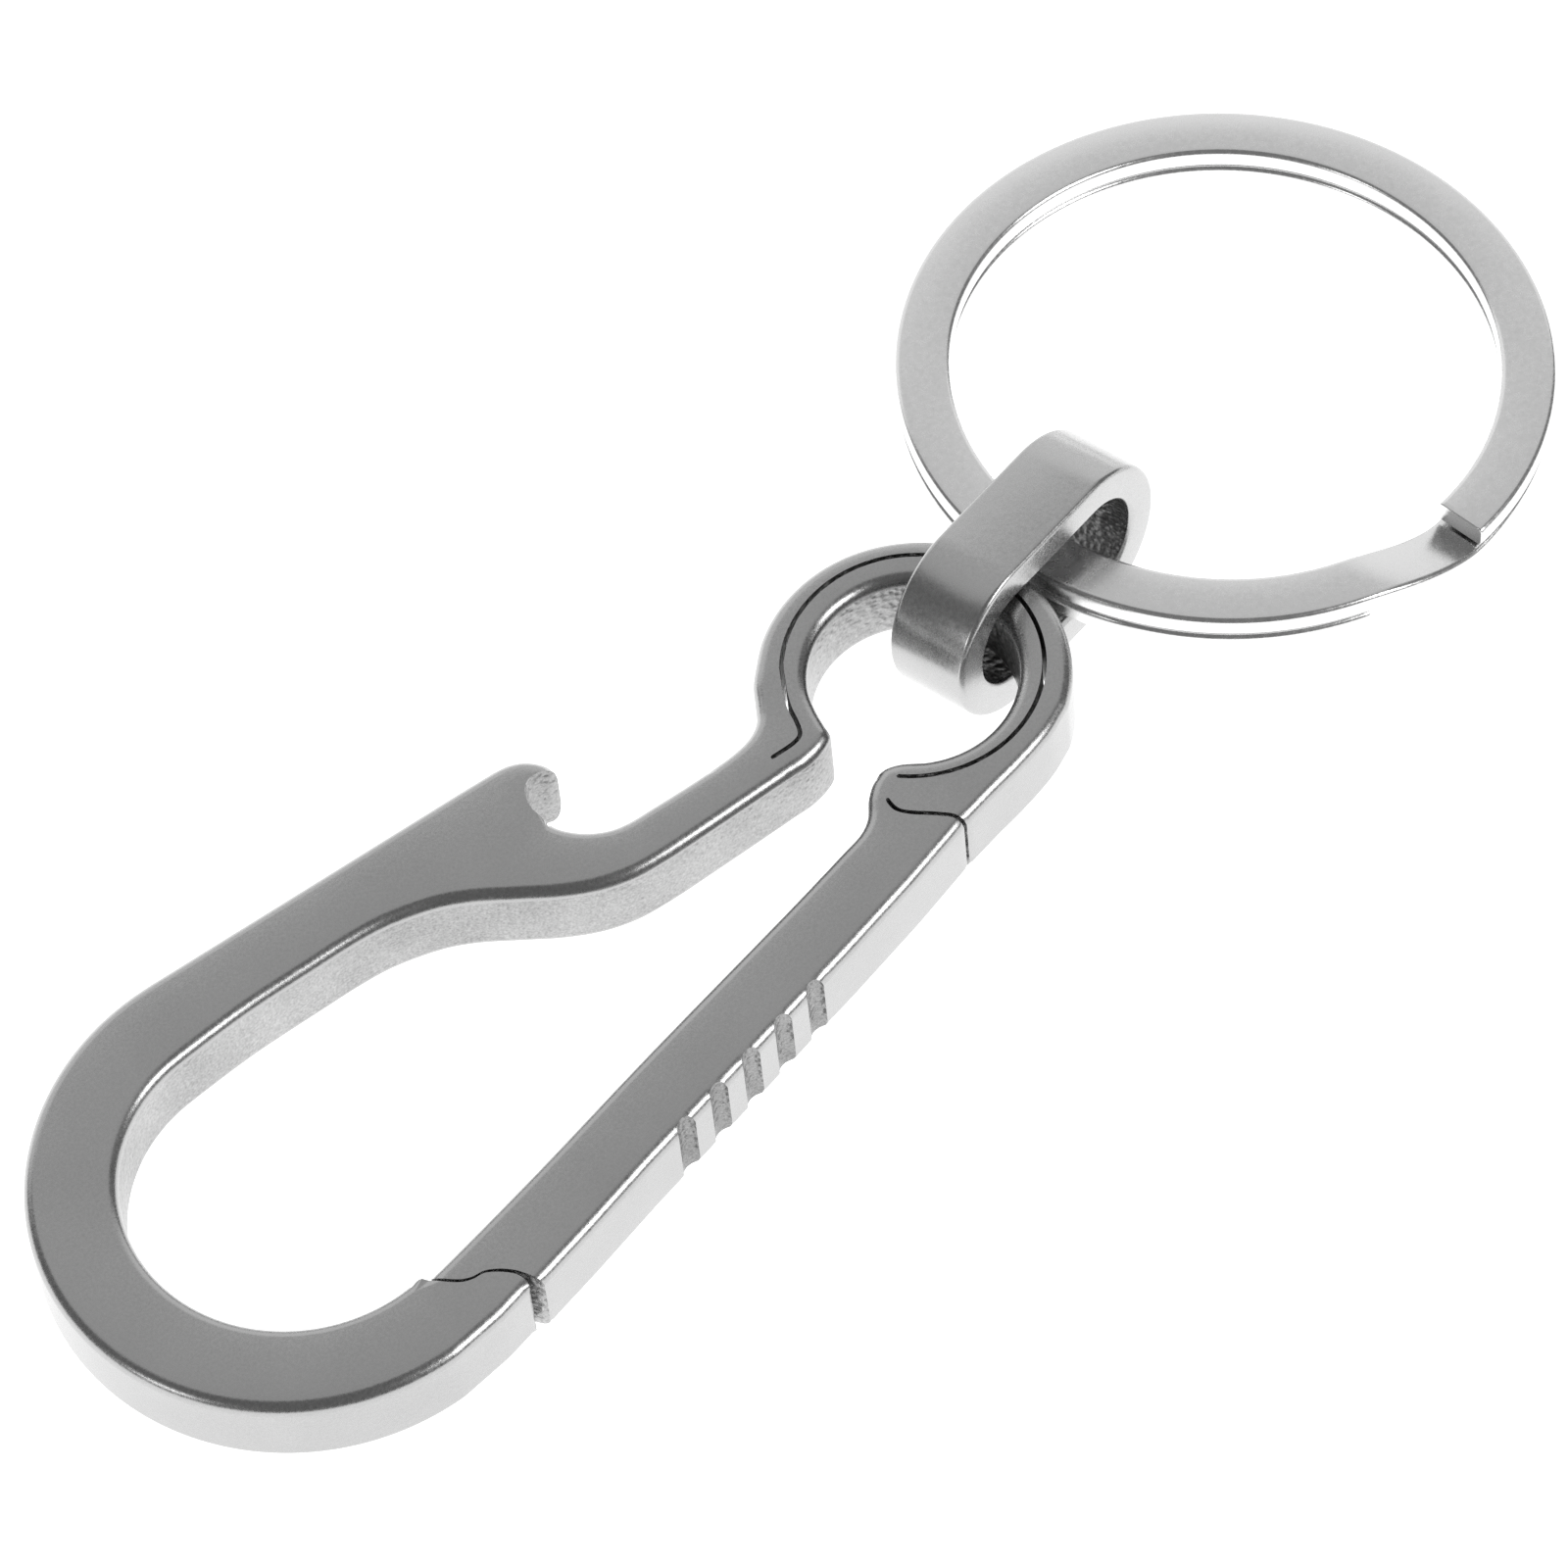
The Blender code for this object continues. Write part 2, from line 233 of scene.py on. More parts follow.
def notched_rim():
    """The gate's outer rim with its thumb grooves: shallow arcs set in from the rim line."""
    runs = [np.c_[np.linspace(37.88, 27.5, 40), rim_line(np.linspace(37.88, 27.5, 40))]]
    kinds = [np.zeros(40, int)]
    turn = np.radians(np.linspace(160, 20, 19))
    for x in reversed(NOTCHES):
        groove = np.c_[x - NOTCH_R * np.cos(turn),
                       rim_line(x) - NOTCH_BACK + NOTCH_R * np.sin(turn)]
        groove[:, 1] += GATE_SLOPE * (groove[:, 0] - x)
        runs.append(groove)
        kinds.append(np.full(len(groove), 3))
        if x > NOTCHES[0]:
            land = np.linspace(groove[-1, 0] - 0.15, x - NOTCH_PITCH + NOTCH_LAND, 8)
            runs.append(np.c_[land, rim_line(land)])
            kinds.append(np.zeros(8, int))
    last = np.linspace(NOTCHES[0] - 0.8, 4.95, 50)
    runs.append(np.c_[last, rim_line(last)])
    kinds.append(np.zeros(50, int))
    return np.vstack(runs), np.concatenate(kinds)


def outer_outline():
    """The whole outer edge of the sprung hook, with the kind of each of its points.

    Kind 0 is a rounded rim over a smooth wall and 1 a rounded rim over a wire-cut wall. Kinds 2,
    the claw and the gaps, and 3, the grooves, were cut after the rims were rounded and stay crisp.
    """
    hook = arc(0, 0, HOOK_OUT, -94, -360 + SPINE_TILT)
    back = curve([(1.64, 13.55), (12.0, 12.22), (22.0, 10.93), (23.0, 10.78), (23.6, 10.62),
                  (24.4, 10.2), (24.95, 9.62), (25.2, 9.05), (25.27, 8.75)])
    claw = curve([(25.22, 8.66), (24.86, 8.68), (24.3, 8.93), (23.85, 9.02), (23.45, 8.93),
                  (23.05, 8.6), (22.78, 8.15), (22.62, 7.6), (22.62, 7.1), (22.74, 6.5)])
    waist = curve([(22.78, 6.4), (22.98, 5.84), (23.44, 5.11), (24.1, 4.44), (24.9, 3.94),
                   (25.82, 3.66), (27.04, 3.49), (30.42, 3.08), (32.53, 2.98), (33.63, 3.13),
                   (34.48, 3.55), (35.15, 4.35), (35.9, 5.35), (37.0, 6.3), (37.65, 6.81)])
    eye = arc(*EYE, EYE_OUT, 124, -58)
    foot = curve([(46.6, -6.97), (44.78, -7.6), (42.25, -8.03), (40.56, -8.2), (38.14, -8.50)])
    mouth_in = curve([(38.1, -8.46), (37.86, -7.87), (37.27, -7.11), (36.43, -6.18),
                      (36.11, -5.74), (36.03, -5.41), (36.06, -5.02), (36.10, -4.80)])
    mouth_out = curve([(36.02, -4.72), (35.90, -4.80), (35.79, -5.41), (35.89, -5.77),
                       (36.25, -6.32), (37.09, -7.25), (37.68, -8.01), (37.88, -8.50)])
    rim, rim_kinds = notched_rim()
    face = curve([(4.86, -13.42), (4.8, -13.3), (4.52, -12.72), (4.20, -12.08), (3.68, -11.46),
                  (3.04, -11.0), (2.41, -10.85), (1.96, -10.60), (1.4, -10.04), (1.0, -9.5),
                  (0.94, -9.36), (1.0, -9.28)])
    inner = curve([(1.12, -9.26), (1.5, -9.24), (8.45, -8.45), (16.9, -7.31), (28.73, -5.87),
                   (32.11, -5.41), (33.8, -5.15), (34.64, -4.73), (35.49, -3.89), (36.34, -3.34),
                   (37.18, -3.13), (38.03, -3.46), (39.0, -4.27)])
    bore = arc(*LEAF, LEAF_IN, -127, 147)
    lobe = curve([(37.7, 3.08), (37.45, 2.6), (37.1, 1.69), (36.84, 0.76), (36.67, 0.25),
                  (35.91, -0.08), (34.64, -0.21), (33.8, -0.13), (29.57, 0.25), (25.35, 0.68),
                  (23.66, 1.01), (21.97, 1.69), (20.28, 2.79), (18.59, 4.22), (16.9, 5.66),
                  (15.63, 6.51), (14.37, 7.1), (12.67, 7.69), (10.98, 8.02), (8.45, 8.32),
                  (4.22, 8.75), (1.0, 8.86), (0.0, 8.87)])
    bend = arc(0, 0, HOOK_IN, 90, 269)
    nose = curve([(0.12, -8.92), (0.51, -9.13), (0.84, -9.55), (1.27, -10.14), (1.86, -10.73),
                  (2.37, -10.98), (2.96, -11.11), (3.55, -11.58), (4.06, -12.25), (4.2, -12.84),
                  (4.15, -13.15), (4.0, -13.24)])
    lip = np.array([(2.1, -13.5)])
    runs = ((hook, 0), (back, 0), (claw, 2), (waist, 1), (eye, 0), (foot, 0), (mouth_in, 2),
            (mouth_out, 2), (rim, rim_kinds), (face, 2), (inner, 1), (bore, 1), (lobe, 1),
            (bend, 1), (nose, 2), (lip, 0))
    points = np.vstack([run for run, _ in runs])
    kinds = np.concatenate([np.broadcast_to(kind, len(run)) for run, kind in runs])
    return points, kinds


def slit_outline():
    """The closed slit between the eye's two leaves, a wire's width wide with round ends."""
    line = np.vstack([arc(*SLIT, SLIT_R, -139, 137, 1.5),
                      curve([(37.5, 4.9), (36.5, 3.46), (36.08, 2.62), (35.91, 2.11),
                             (35.66, 1.52), (35.41, 1.18), (34.9, 1.06), (33.5, 1.18)])])
    line = even(line, 0.2, closed=False)
    way = np.gradient(line, axis=0)
    way /= np.linalg.norm(way, axis=1, keepdims=True)
    side = np.c_[-way[:, 1], way[:, 0]] * SLIT_HALF
    cap = np.radians(np.linspace(90, -90, 5))[1:-1, None]
    tail = line[-1] + np.cos(cap) * way[-1] * SLIT_HALF + np.sin(cap) * side[-1]
    head = line[0] - np.cos(cap) * way[0] * SLIT_HALF - np.sin(cap) * side[0]
    return np.vstack([line + side, tail, (line - side)[::-1], head])


def even_kinds(pts, kinds, step):
    """Sets points evenly along a closed line, keeping every corner between kinds in place."""
    turns = np.flatnonzero(kinds != np.roll(kinds, 1))
    pts, kinds = np.roll(pts, -turns[0], axis=0), np.roll(kinds, -turns[0])
    starts = np.r_[turns - turns[0], len(pts)]
    runs, tags = [], []
    for first, last in zip(starts[:-1], starts[1:]):
        kind = kinds[first]
        fine = step * (0.5 if kind >= 2 else 1.0)
        run = pts[first:last]
        if kind < 2:                                    # a rim reaches the cut walls on both sides
            run = np.vstack([pts[first - 1], run, pts[last % len(pts)]])
        laid = even(run, fine, closed=False)
        if kind < 2:
            laid = laid[1:-1]
        runs.append(laid)
        tags.append(np.full(len(laid), kind))
    return np.vstack(runs), np.concatenate(tags)


def distance(points, ends_a, ends_b):
    """Distance from each point to the nearest of the given segments."""
    way = ends_b - ends_a
    size = np.maximum((way**2).sum(axis=1), 1e-12)
    found = []
    for block in np.array_split(points, max(1, len(points) // 400)):
        gap = block[:, None] - ends_a
        t = np.clip((gap * way).sum(axis=2) / size, 0, 1)
        near = gap - t[:, :, None] * way
        found.append(np.sqrt((near**2).sum(axis=2).min(axis=1)))
    return np.concatenate(found)


# ---- meshes -------------------------------------------------------------------------------------

def put(name, verts, faces, shades, materials, smooth=None):
    """Makes a mesh object at the origin from arrays, with a material index for each face."""
    mesh = bpy.data.meshes.new(name)
    mesh.from_pydata([tuple(v) for v in verts.tolist()], [], faces)
    for mat in materials:
        mesh.materials.append(mat)
    mesh.polygons.foreach_set("material_index", np.asarray(shades, np.int32))
    flags = np.ones(len(faces), bool) if smooth is None else np.asarray(smooth, bool)
    mesh.polygons.foreach_set("use_smooth", flags)
    mesh.update()
    obj = bpy.data.objects.new(name, mesh)
    bpy.context.scene.collection.objects.link(obj)
    return obj


def grid_faces(rows, cols, start=0, wrap_rows=False):
    """Quads of a grid whose columns close on themselves, with the first index at start."""
    i = np.arange(rows if wrap_rows else rows - 1)[:, None]
    j = np.arange(cols)[None, :]
    k = (j + 1) % cols
    m = (i + 1) % rows
    quads = np.stack([i * cols + j, i * cols + k, m * cols + k, m * cols + j], -1)
    return (quads.reshape(-1, 4) + start)


def left_of(pts):
    """Unit normals to the left of a closed line, averaged over each point's two sides."""
    way = np.roll(pts, -1, axis=0) - np.roll(pts, 1, axis=0)
    way /= np.linalg.norm(way, axis=1, keepdims=True)
    return np.c_[-way[:, 1], way[:, 0]]


def sink(points, away, size):
    """How far the face has dropped at a given distance inside a rounded rim.

    The rim is a quarter of an ellipse: drop = deep * (1 - sqrt(1 - (1 - away / wide)^2)). It runs
    twice as deep round the opener's claw, whose tip is rounded like a finger.
    """
    u = np.clip(1 - away / (size.rim_wide / MM), 0, 1)
    to_claw = np.hypot(points[:, 0] - 25.2, points[:, 1] - 9.0)
    deep = size.rim_deep / MM * (1 + 1.0 / (1 + (to_claw / 1.3) ** 4))
    return deep * (1 - np.sqrt(1 - u * u))


def inside(points, loops):
    """True where a point lies inside the loops by the even-odd rule."""
    start = np.vstack(loops)
    end = np.vstack([np.roll(loop, -1, axis=0) for loop in loops])
    rise = end[:, 1] - start[:, 1]
    slope = (end[:, 0] - start[:, 0]) / np.where(rise == 0, 1, rise)
    found = []
    for block in np.array_split(points, max(1, len(points) // 400)):
        x, y = block[:, :1], block[:, 1:]
        spans = (start[:, 1] > y) != (end[:, 1] > y)
        hits = spans & (x < start[:, 0] + (y - start[:, 1]) * slope)
        found.append(hits.sum(axis=1) % 2 == 1)
    return np.concatenate(found)


def fill(loops, inner):
    """Triangles over the area between an outer loop and its holes, through the inner points."""
    pts = np.vstack([*loops, inner])
    edges, first = [], 0
    for loop in loops:
        k = np.arange(len(loop))
        edges += np.c_[first + k, first + (k + 1) % len(loop)].tolist()
        first += len(loop)
    verts, _, faces, _, _, _ = delaunay_2d_cdt([Vector(p) for p in pts], edges, [], 0, 1e-7)
    flat = np.array([tuple(v) for v in verts])
    faces = np.array(faces)
    faces = faces[inside(flat[faces].mean(axis=1), loops)]
    used, index = np.unique(faces, return_inverse=True)
    return flat[used], index.reshape(-1, 3)


def leaf_follow(xyz):
    """How much of the gate's turn each point takes, from 0 on the frame to 1 on the gate.

    The gate side of the neck takes all of it and the frame side none, changing over the neck's
    width. Along the inner leaf the share falls as one over the distance from the neck, so the leaf
    moves less than the slit is wide, and fades to nothing half way round the eye.
    """
    x = xyz[:, 0] / MM - HOOK[0]
    y = xyz[:, 1] / MM - HOOK[1]
    dx, dy = x - NECK[0], y - NECK[1]
    way = np.array([0.903, 0.43])                       # from slit to slit across the neck
    over = -way[1] * dx + way[0] * dy                   # to the gate's side of the neck
    along = way[0] * dx + way[1] * dy
    turned = np.clip(0.5 + over / 0.5, 0, 1)
    turned = turned * turned * (3 - 2 * turned)
    on_gate = ((x < 37.3) & ((dy < 3.0) | (x < 30))) | ((x < 38.1) & (y < -6.5))
    mouth = np.interp(-dy, [0, 0.9, 1.4, 1.85, 2.75, 3.5, 4.1],
                      [36.0, 35.92, 36.0, 36.34, 37.18, 37.77, 38.05])
    left_of_mouth = np.where(dy < -0.1, x < mouth, True)
    below = y < np.interp(x, [-40, 0, 30, 36.0, 37.3], [-9.1, -9.1, -4.5, -2.5, -2.5])
    gate = on_gate & below & left_of_mouth & (x > 0.9)
    radius = np.hypot(x - SLIT[0], y - SLIT[1])
    angle = np.degrees(np.arctan2(y - SLIT[1], x - SLIT[0]))
    span = np.clip((angle + 140) / 150, 0, 1)           # 0 at the gate's heel, 1 past the far side
    leaf = (radius < SLIT_R) & (x >= 37.3) & (angle < 10) & (angle > -175)
    reach = np.hypot(dx, dy)
    share = np.minimum(1, 0.9 / np.maximum(reach, 0.1)) * (1 - span) ** 2
    share = np.where(leaf, share, 0)
    near = np.where((np.abs(over) < 0.6) & (reach < 1.6), turned, 1.0)
    nose_side = (x < 5.0) & (y < nose_line(x))
    return np.where(gate & ~nose_side, near, share)


def nose_line(x):
    """The middle of the gap between the nose and the gate's end, as y over x."""
    return np.interp(x, [0.9, 1.33, 1.92, 2.39, 3.0, 3.62, 4.13, 4.4, 4.55],
                     [-9.42, -10.09, -10.66, -10.92, -11.06, -11.52, -12.16, -12.8, -13.6])


# ---- settings -----------------------------------------------------------------------------------

class OpenerBodySettings(bpy.types.PropertyGroup):
    """Sizes of the sprung hook."""
    rim_wide: FloatProperty(name="Rim width", description="Width of the rounded rim seen from above",
                            default=0.8 * MM, min=0.05 * MM, max=2.0 * MM, unit="LENGTH")
    rim_deep: FloatProperty(name="Rim depth", description="Depth of the rounded rim down the wall",
                            default=0.68 * MM, min=0.05 * MM, max=2.0 * MM, unit="LENGTH")
    spacing: FloatProperty(name="Point spacing", description="Distance between outline points",
                           default=0.24 * MM, min=0.1 * MM, max=1.0 * MM, unit="LENGTH")


class OpenerLinkSettings(bpy.types.PropertyGroup):
    """Sizes of the link's edges."""
    edge: FloatProperty(name="Link edge", description="Rounding of the link's edges",
                        default=0.3 * MM, min=0.05 * MM, max=0.9 * MM, unit="LENGTH")


class OpenerRingSettings(bpy.types.PropertyGroup):
    """Sizes of the split ring's wire."""
    edge: FloatProperty(name="Wire edge", description="Rounding of the flat wire's edges",
                        default=0.34 * MM, min=0.05 * MM, max=0.6 * MM, unit="LENGTH")


class OpenerStageSettings(bpy.types.PropertyGroup):
    """Camera and floor."""
    eye_at: FloatVectorProperty(name="Camera place", description="Where the camera stands",
                                default=(-0.131143, -0.199469, 0.386980),
                                subtype="TRANSLATION", unit="LENGTH")
    eye_turn: FloatVectorProperty(name="Camera turn", description="The camera's rotation",
                                  default=tuple(math.radians(a) for a in (31.9787, 3.4324, -42.3367)),
                                  subtype="EULER", unit="ROTATION")
    lens: FloatProperty(name="Lens", description="Focal length in millimetres",
                        default=202.5, min=10, max=400)
    floor: StringProperty(name="Floor colour", description="Floor colour as an sRGB hex value",
                          default="#f8f8f8")
    glow: FloatProperty(name="Floor light", description="Light the lit sweep gives off",
                        default=2.1, min=0.0, max=10.0)
    sky: FloatProperty(name="Room light", description="Light of the grey room around the object",
                       default=0.2, min=0.0, max=10.0)


# ---- operators ----------------------------------------------------------------------------------

class OPENER_OT_body(bpy.types.Operator):
    """Builds the one-piece hook with its opener, leaf spring and gate"""
    bl_idname = "opener.body"
    bl_label = "Hook body"

    def execute(self, context):
        size = context.scene.opener_body
        step = size.spacing / MM
        outer, kinds = even_kinds(*outer_outline(), step)
        if loop_area(outer) < 0:
            outer, kinds = outer[::-1], kinds[::-1]
        hole = even(slit_outline(), step * 0.7)
        if loop_area(hole) > 0:
            hole = hole[::-1]
        rims = kinds < 2
        spans = rims | np.roll(rims, -1)
        ends_a, ends_b = outer[spans], np.roll(outer, -1, axis=0)[spans]
        line = np.array([[x, rim_line(x)] for x in np.linspace(14.5, 27.2, 60)])
        ends_a = np.vstack([ends_a, line[:-1]])             # the rim as it ran before the grooves
        ends_b = np.vstack([ends_b, line[1:]])
        turn = np.radians([12, 24, 36, 47, 58, 68, 77, 84])
        rows = size.rim_wide / MM * (1 - np.sin(turn))
        seeds = np.vstack([outer[rims], line[::2]])
        inward = np.vstack([left_of(outer)[rims], np.tile([-GATE_SLOPE, 0.99], (len(line[::2]), 1))])
        inner = np.concatenate([seeds + inward * row for row in rows])
        level = np.repeat(rows, len(seeds))
        cuts = np.vstack([outer, hole])
        away = distance(inner, ends_a, ends_b)
        clear = distance(inner, cuts, np.roll(cuts, -1, axis=0)) > np.minimum(0.05, level * 0.8)
        inner = inner[(away > level * 0.985 - 1e-4) & clear]
        flat, tris = fill([outer, hole], inner)
        drop = sink(flat, distance(flat, ends_a, ends_b), size)
        faces, verts, shades, start = [], [], [], 0
        for height, flip in ((PLATE - drop, False), (drop, True)):
            verts.append(np.c_[flat + HOOK, height])
            faces += (start + (tris[:, ::-1] if flip else tris)).tolist()
            shades.append(np.zeros(len(tris), int))
            start += len(flat)
        for loop, tag in ((outer, kinds), (hole, np.full(len(hole), 2))):
            low = sink(loop, distance(loop, ends_a, ends_b), size)
            high = PLATE - low
            share = np.linspace(1, 0, 5)[:, None]
            grid = np.stack([np.broadcast_to(loop[:, 0] + HOOK[0], (5, len(loop))),
                             np.broadcast_to(loop[:, 1] + HOOK[1], (5, len(loop))),
                             low + (high - low) * share], axis=2)
            verts.append(grid.reshape(-1, 3))
            faces += grid_faces(5, len(loop), start)[:, ::-1].tolist()
            low_tag = np.minimum(tag, np.roll(tag, -1))
            # the grooves, kind 3, take the third finish, whose darker grey is painted shade
            shades.append(np.tile(np.where(low_tag == 3, 2, np.minimum(low_tag, 1)), 4))
            start += 5 * len(loop)
        obj = put("sprung_hook", np.vstack(verts) * MM, faces, np.concatenate(shades),
                  [blasted_titanium(), cut_titanium(), groove_titanium_painted_shade()])
        outward(obj, weld=WELD)
        obj.data.set_sharp_from_angle(angle=math.radians(33))
        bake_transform(obj)
        xyz = np.empty(len(obj.data.vertices) * 3)
        obj.data.vertices.foreach_get("co", xyz)
        share = leaf_follow(xyz.reshape(-1, 3)).astype(np.float32)
        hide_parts("body_frame", "spring_leaf", "gate")
        return {"FINISHED"}


class OPENER_OT_link(bpy.types.Operator):
    """Builds the oblong band that joins the hook to the split ring"""
    bl_idname = "opener.link"
    bl_label = "Link"

    def execute(self, context):
        edge = context.scene.opener_link.edge / MM
        along, up, width = link_axes()
        mid = LINK_OUT - LINK_WALL / 2
        bend = np.radians(np.linspace(-90, 90, 49))
        turn = np.r_[bend, bend + math.pi]
        shift = np.r_[np.full(49, LINK_STRAIGHT), np.full(49, -LINK_STRAIGHT)]
        out = np.cos(turn)[:, None] * along + np.sin(turn)[:, None] * up
        base = LINK_AT + np.r_[HOOK, 0] + shift[:, None] * along + mid * out
        sec, side = round_bar(LINK_WALL, LINK_WIDE, edge)
        grid = (base[:, None] + sec[None, :, :1] * out[:, None] + sec[None, :, 1:] * width) * MM
        quads = grid_faces(len(grid), len(sec), wrap_rows=True)
        shades = np.tile(np.where(side == 2, 1, 0), len(grid))
        obj = put("swing_link", grid.reshape(-1, 3), quads.tolist(), shades,
                  [satin_titanium(), eroded_titanium()])
        outward(obj)
        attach(obj, "link")
        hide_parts("link")
        return {"FINISHED"}


class OPENER_OT_ring(bpy.types.Operator):
    """Builds the flat-wire split ring with its step between the two ends"""
    bl_idname = "opener.ring"
    bl_label = "Split ring"

    def execute(self, context):
        edge = context.scene.opener_ring.edge / MM
        up = np.array(RING_UP) / np.linalg.norm(RING_UP)
        side = np.array([1.0, 0, 0]) - up * up[0]
        side /= np.linalg.norm(side)
        other = np.cross(up, side)
        turn = np.linspace(RING_START, RING_END, 560)
        drop = np.clip((turn - RING_STEP[0]) / (RING_STEP[1] - RING_STEP[0]), 0, 1)
        level = RING_PITCH * (0.5 - (3 * drop**2 - 2 * drop**3))
        level -= RING_DIP[0] * np.exp(-((turn - RING_DIP[1]) / RING_DIP[2]) ** 2)
        sec, _ = round_bar(RING_WIDE, RING_THICK, edge)
        shrink = np.r_[0.93, 0.985, np.ones(len(turn)), 0.985, 0.93]
        hold = np.r_[turn[0], turn[0] + 0.08, turn, turn[-1] - 0.08, turn[-1]]
        hold[2], hold[-3] = turn[0] + 0.3, turn[-1] - 0.3
        high = np.r_[level[0], level[0], level, level[-1], level[-1]]
        a = np.radians(hold)
        out = np.cos(a)[:, None] * side + np.sin(a)[:, None] * other
        mid = RING_OUT - RING_WIDE / 2
        base = RING_AT + np.r_[HOOK, 0] + mid * out + high[:, None] * up
        grid = (base[:, None] + shrink[:, None, None] * (sec[None, :, :1] * out[:, None]
                                                         + sec[None, :, 1:] * up)) * MM
        quads = grid_faces(len(grid), len(sec)).tolist()
        n = len(sec)
        last = (len(grid) - 1) * n
        quads.append(list(range(n))[::-1])
        quads.append([last + k for k in range(n)])
        flags = np.ones(len(quads), bool)
        flags[-2:] = False
        obj = put("split_ring", grid.reshape(-1, 3), quads, np.zeros(len(quads), int),
                  [satin_steel()], flags)
        outward(obj)
        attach(obj, "key_ring")
        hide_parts("key_ring")
        return {"FINISHED"}


class OPENER_OT_stage(bpy.types.Operator):
    """Sets the floor, the soft studio lights and the camera"""
    bl_idname = "opener.stage"
    bl_label = "Stage"

    def execute(self, context):
        stage = context.scene.opener_stage
        add_floor(stage)
        add_lights(stage)
        cam = bpy.data.cameras.new("camera")
        cam.lens = stage.lens
        cam.sensor_width = 36.0
        cam.clip_start, cam.clip_end = 0.01, 20.0
        cam.dof.use_dof = False
        eye = bpy.data.objects.new("camera", cam)
        eye.location = stage.eye_at
        eye.rotation_euler = Euler(stage.eye_turn)
        context.scene.collection.objects.link(eye)
        bpy.context.scene.camera = eye
        context.scene.view_settings.view_transform = "Standard"
        return {"FINISHED"}


# ---- shared shape helpers -----------------------------------------------------------------------

def loop_area(pts):
    """Signed area of a closed line, positive when it runs anticlockwise."""
    x, y = pts.T
    return 0.5 * np.sum(x * np.roll(y, -1) - y * np.roll(x, -1))


def round_bar(wide, high, edge):
    """A bar's cross-section with round corners, and for each step which side it lies on.

    Points run anticlockwise as (across, up) pairs; sides count 0 for the right, 1 top, 2 left,
    3 bottom, with each corner's steps counted to the side before it, or -1 on the round.
    """
    turn = np.radians(np.linspace(0, 90, 7))
    points, sides = [], []
    for quarter, (sx, sy) in enumerate(((1, 1), (-1, 1), (-1, -1), (1, -1))):
        a = turn + quarter * math.pi / 2
        cx, cy = sx * (wide / 2 - edge), sy * (high / 2 - edge)
        points.append(np.c_[cx + edge * np.cos(a), cy + edge * np.sin(a)])
        sides += [-1] * 6 + [(quarter + 1) % 4]
    return np.vstack(points), np.array(sides)


def link_axes():
    """Long, upright and width directions of the link, turned, dipped and leaned as it hangs."""
    z, y, x = (math.radians(v) for v in (LINK_TURN, LINK_DIP, LINK_LEAN))
    turn = np.array([[math.cos(z), -math.sin(z), 0], [math.sin(z), math.cos(z), 0], [0, 0, 1]])
    dip = np.array([[math.cos(y), 0, math.sin(y)], [0, 1, 0], [-math.sin(y), 0, math.cos(y)]])
    lean = np.array([[1, 0, 0], [0, math.cos(x), -math.sin(x)], [0, math.sin(x), math.cos(x)]])
    whole = turn @ dip @ lean
    return whole @ [1, 0, 0], whole @ [0, 0, 1], whole @ [0, -1, 0]


def outward(obj, weld=0.0):
    """Turns every face of a closed piece outwards, after welding points closer than weld."""
    bm = bmesh.new()
    bm.from_mesh(obj.data)
    if weld:
        bmesh.ops.remove_doubles(bm, verts=bm.verts, dist=weld)
    bmesh.ops.recalc_face_normals(bm, faces=bm.faces)
    bm.to_mesh(obj.data)
    bm.free()


# ---- finishes -----------------------------------------------------------------------------------

def blasted_titanium():
    """Titanium blasted with fine beads: an even mid-grey with a fine sparkle."""
    return metal("blasted_titanium", "#a2a2a2", "#b2b2b2", 0.27, 0.16, 0.006, 0.3, 0.002)


def cut_titanium():
    """Titanium cut by a wire: light grey and speckled with shallow pits."""
    return metal("wire_cut_titanium", "#787878", "#c2c2c2", 0.36, 0.14, 0.024, 0.4, 0.1)


def groove_titanium_painted_shade():
    """Titanium cut in the thumb grooves: speckled like the wire-cut walls, in a darker grey that is
    painted shade.
    """
    return metal("groove_cut_titanium_painted_shade", "#5e5e5e", "#a6a6a6", 0.38, 0.14, 0.024, 0.3, 0.1)


def satin_titanium():
    """Titanium tumbled to a satin: smooth gradients with a few tiny nicks."""
    return metal("satin_titanium", "#acacac", "#bababa", 0.26, 0.2, 0.003, 0.6, 0.003)


def eroded_titanium():
    """Titanium left rough by spark erosion inside the link: dark wrinkles across the band."""
    return metal("eroded_titanium", "#4c4c4c", "#a8a8a8", 0.4, 0.14, 0.03, 0.4, 0.16, (1, 1, 2.2))


def satin_steel():
    """Stainless flat wire rolled smooth: light and even, with shiny round edges."""
    return metal("satin_steel", "#d8d8d8", "#e0e0e0", 0.24, 0.3, 0.0015)


# ---- stage --------------------------------------------------------------------------------------

def add_floor(stage):
    """A wide pale floor that the hook's bend and the link both rest on."""
    slope = math.atan2(-2.9, 65.0)
    mesh = bpy.data.meshes.new("floor")
    reach = 3.0
    level = -0.00005
    hinge = -0.0336
    xs = np.array([-reach, reach])
    z = (xs - hinge) * math.tan(slope) + level
    verts = [(xs[0], -reach, z[0]), (xs[1], -reach, z[1]), (xs[1], reach, z[1]), (xs[0], reach, z[0])]
    mesh.from_pydata(verts, [], [(0, 1, 2, 3)])
    floor = bpy.data.objects.new("floor", mesh)
    bpy.context.scene.collection.objects.link(floor)
    mat, tree, out = new_material("pale_floor")
    base = add(tree, "ShaderNodeBsdfPrincipled", Base_Color=linear(stage.floor), Roughness=0.9)
    glow = add(tree, "ShaderNodeEmission", Color=linear(stage.floor), Strength=stage.glow)
    mix = add(tree, "ShaderNodeMixShader", _0=0.75, _1=base.outputs[0], _2=glow.outputs[0])
    tree.links.new(mix.outputs[0], out.inputs["Surface"])
    mesh.materials.append(mat)


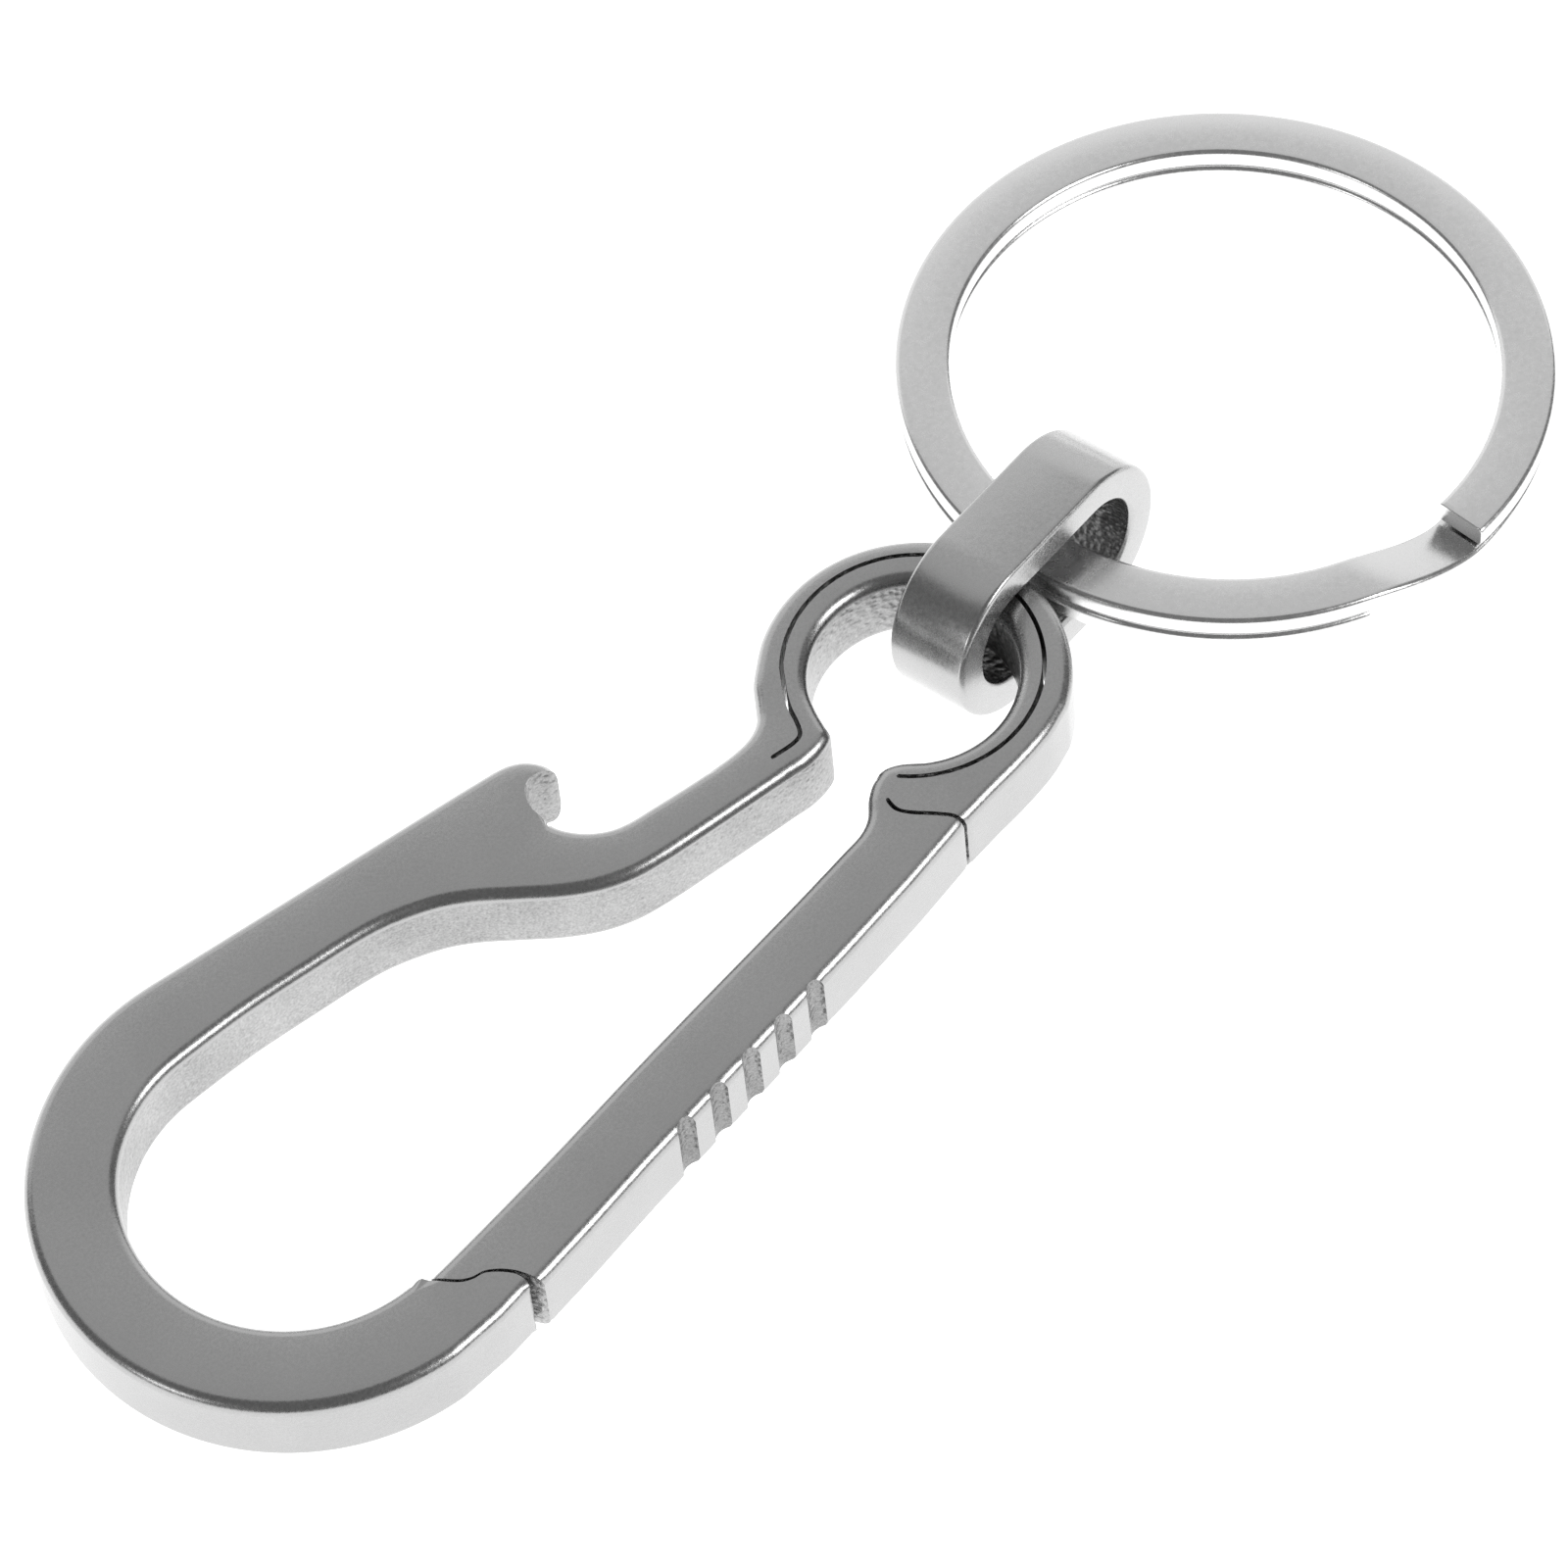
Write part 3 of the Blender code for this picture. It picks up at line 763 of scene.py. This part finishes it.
def add_lights(stage):
    """A dim room with soft boxes: a broad grey one behind, and narrow bright ones at each side.

    Each box is aimed at the object from its azimuth and elevation in degrees, its width and height
    are in metres and its glow is the light its face sends out.
    """
    world = bpy.data.worlds.new("studio")
    world.use_nodes = True
    world.node_tree.nodes["Background"].inputs["Color"].default_value = linear("#ffffff")
    world.node_tree.nodes["Background"].inputs["Strength"].default_value = stage.sky
    bpy.context.scene.world = world
    for name, azimuth, elevation, wide, high, glow in LIGHTS:
        a, e = math.radians(azimuth), math.radians(elevation)
        way = Vector((math.cos(a) * math.cos(e), math.sin(a) * math.cos(e), math.sin(e)))
        light = bpy.data.lights.new(name, "AREA")
        light.shape = "RECTANGLE"
        light.size, light.size_y = wide, high
        light.energy = glow * math.pi * wide * high
        box = bpy.data.objects.new(name, light)
        box.location = Vector(LIT_POINT) + way
        box.rotation_euler = way.to_track_quat("Z", "Y").to_euler()
        bpy.context.scene.collection.objects.link(box)


# ---- panel and registration ---------------------------------------------------------------------

class OPENER_PT_panel(bpy.types.Panel):
    """Lists the pieces and their settings"""
    bl_idname = "OPENER_PT_panel"
    bl_label = "Keychain bottle opener"
    bl_space_type = "VIEW_3D"
    bl_region_type = "UI"
    bl_category = "Opener"

    def draw(self, context):
        rows = (("opener.body", "opener_body", ("rim_wide", "rim_deep", "spacing")),
                ("opener.link", "opener_link", ("edge",)),
                ("opener.ring", "opener_ring", ("edge",)),
                ("opener.stage", "opener_stage",
                 ("eye_at", "eye_turn", "lens", "floor", "glow", "sky")))
        for operator, group, names in rows:
            box = self.layout.box()
            for name in names:
                box.prop(getattr(context.scene, group), name)
            box.operator(operator)


GROUPS = {"opener_body": OpenerBodySettings, "opener_link": OpenerLinkSettings,
          "opener_ring": OpenerRingSettings, "opener_stage": OpenerStageSettings}
OPERATORS = (OPENER_OT_body, OPENER_OT_link, OPENER_OT_ring, OPENER_OT_stage)


def register():
    for name, group in GROUPS.items():
        bpy.utils.register_class(group)
        setattr(bpy.types.Scene, name, PointerProperty(type=group))
    for operator in OPERATORS:
        bpy.utils.register_class(operator)
    bpy.utils.register_class(OPENER_PT_panel)


def unregister():
    bpy.utils.unregister_class(OPENER_PT_panel)
    for operator in reversed(OPERATORS):
        bpy.utils.unregister_class(operator)
    for name, group in GROUPS.items():
        delattr(bpy.types.Scene, name)
        bpy.utils.unregister_class(group)


def main():
    register()
    bpy.ops.opener.body()
    bpy.ops.opener.link()
    bpy.ops.opener.ring()
    bpy.ops.opener.stage()


if __name__ == "__main__":
    main()
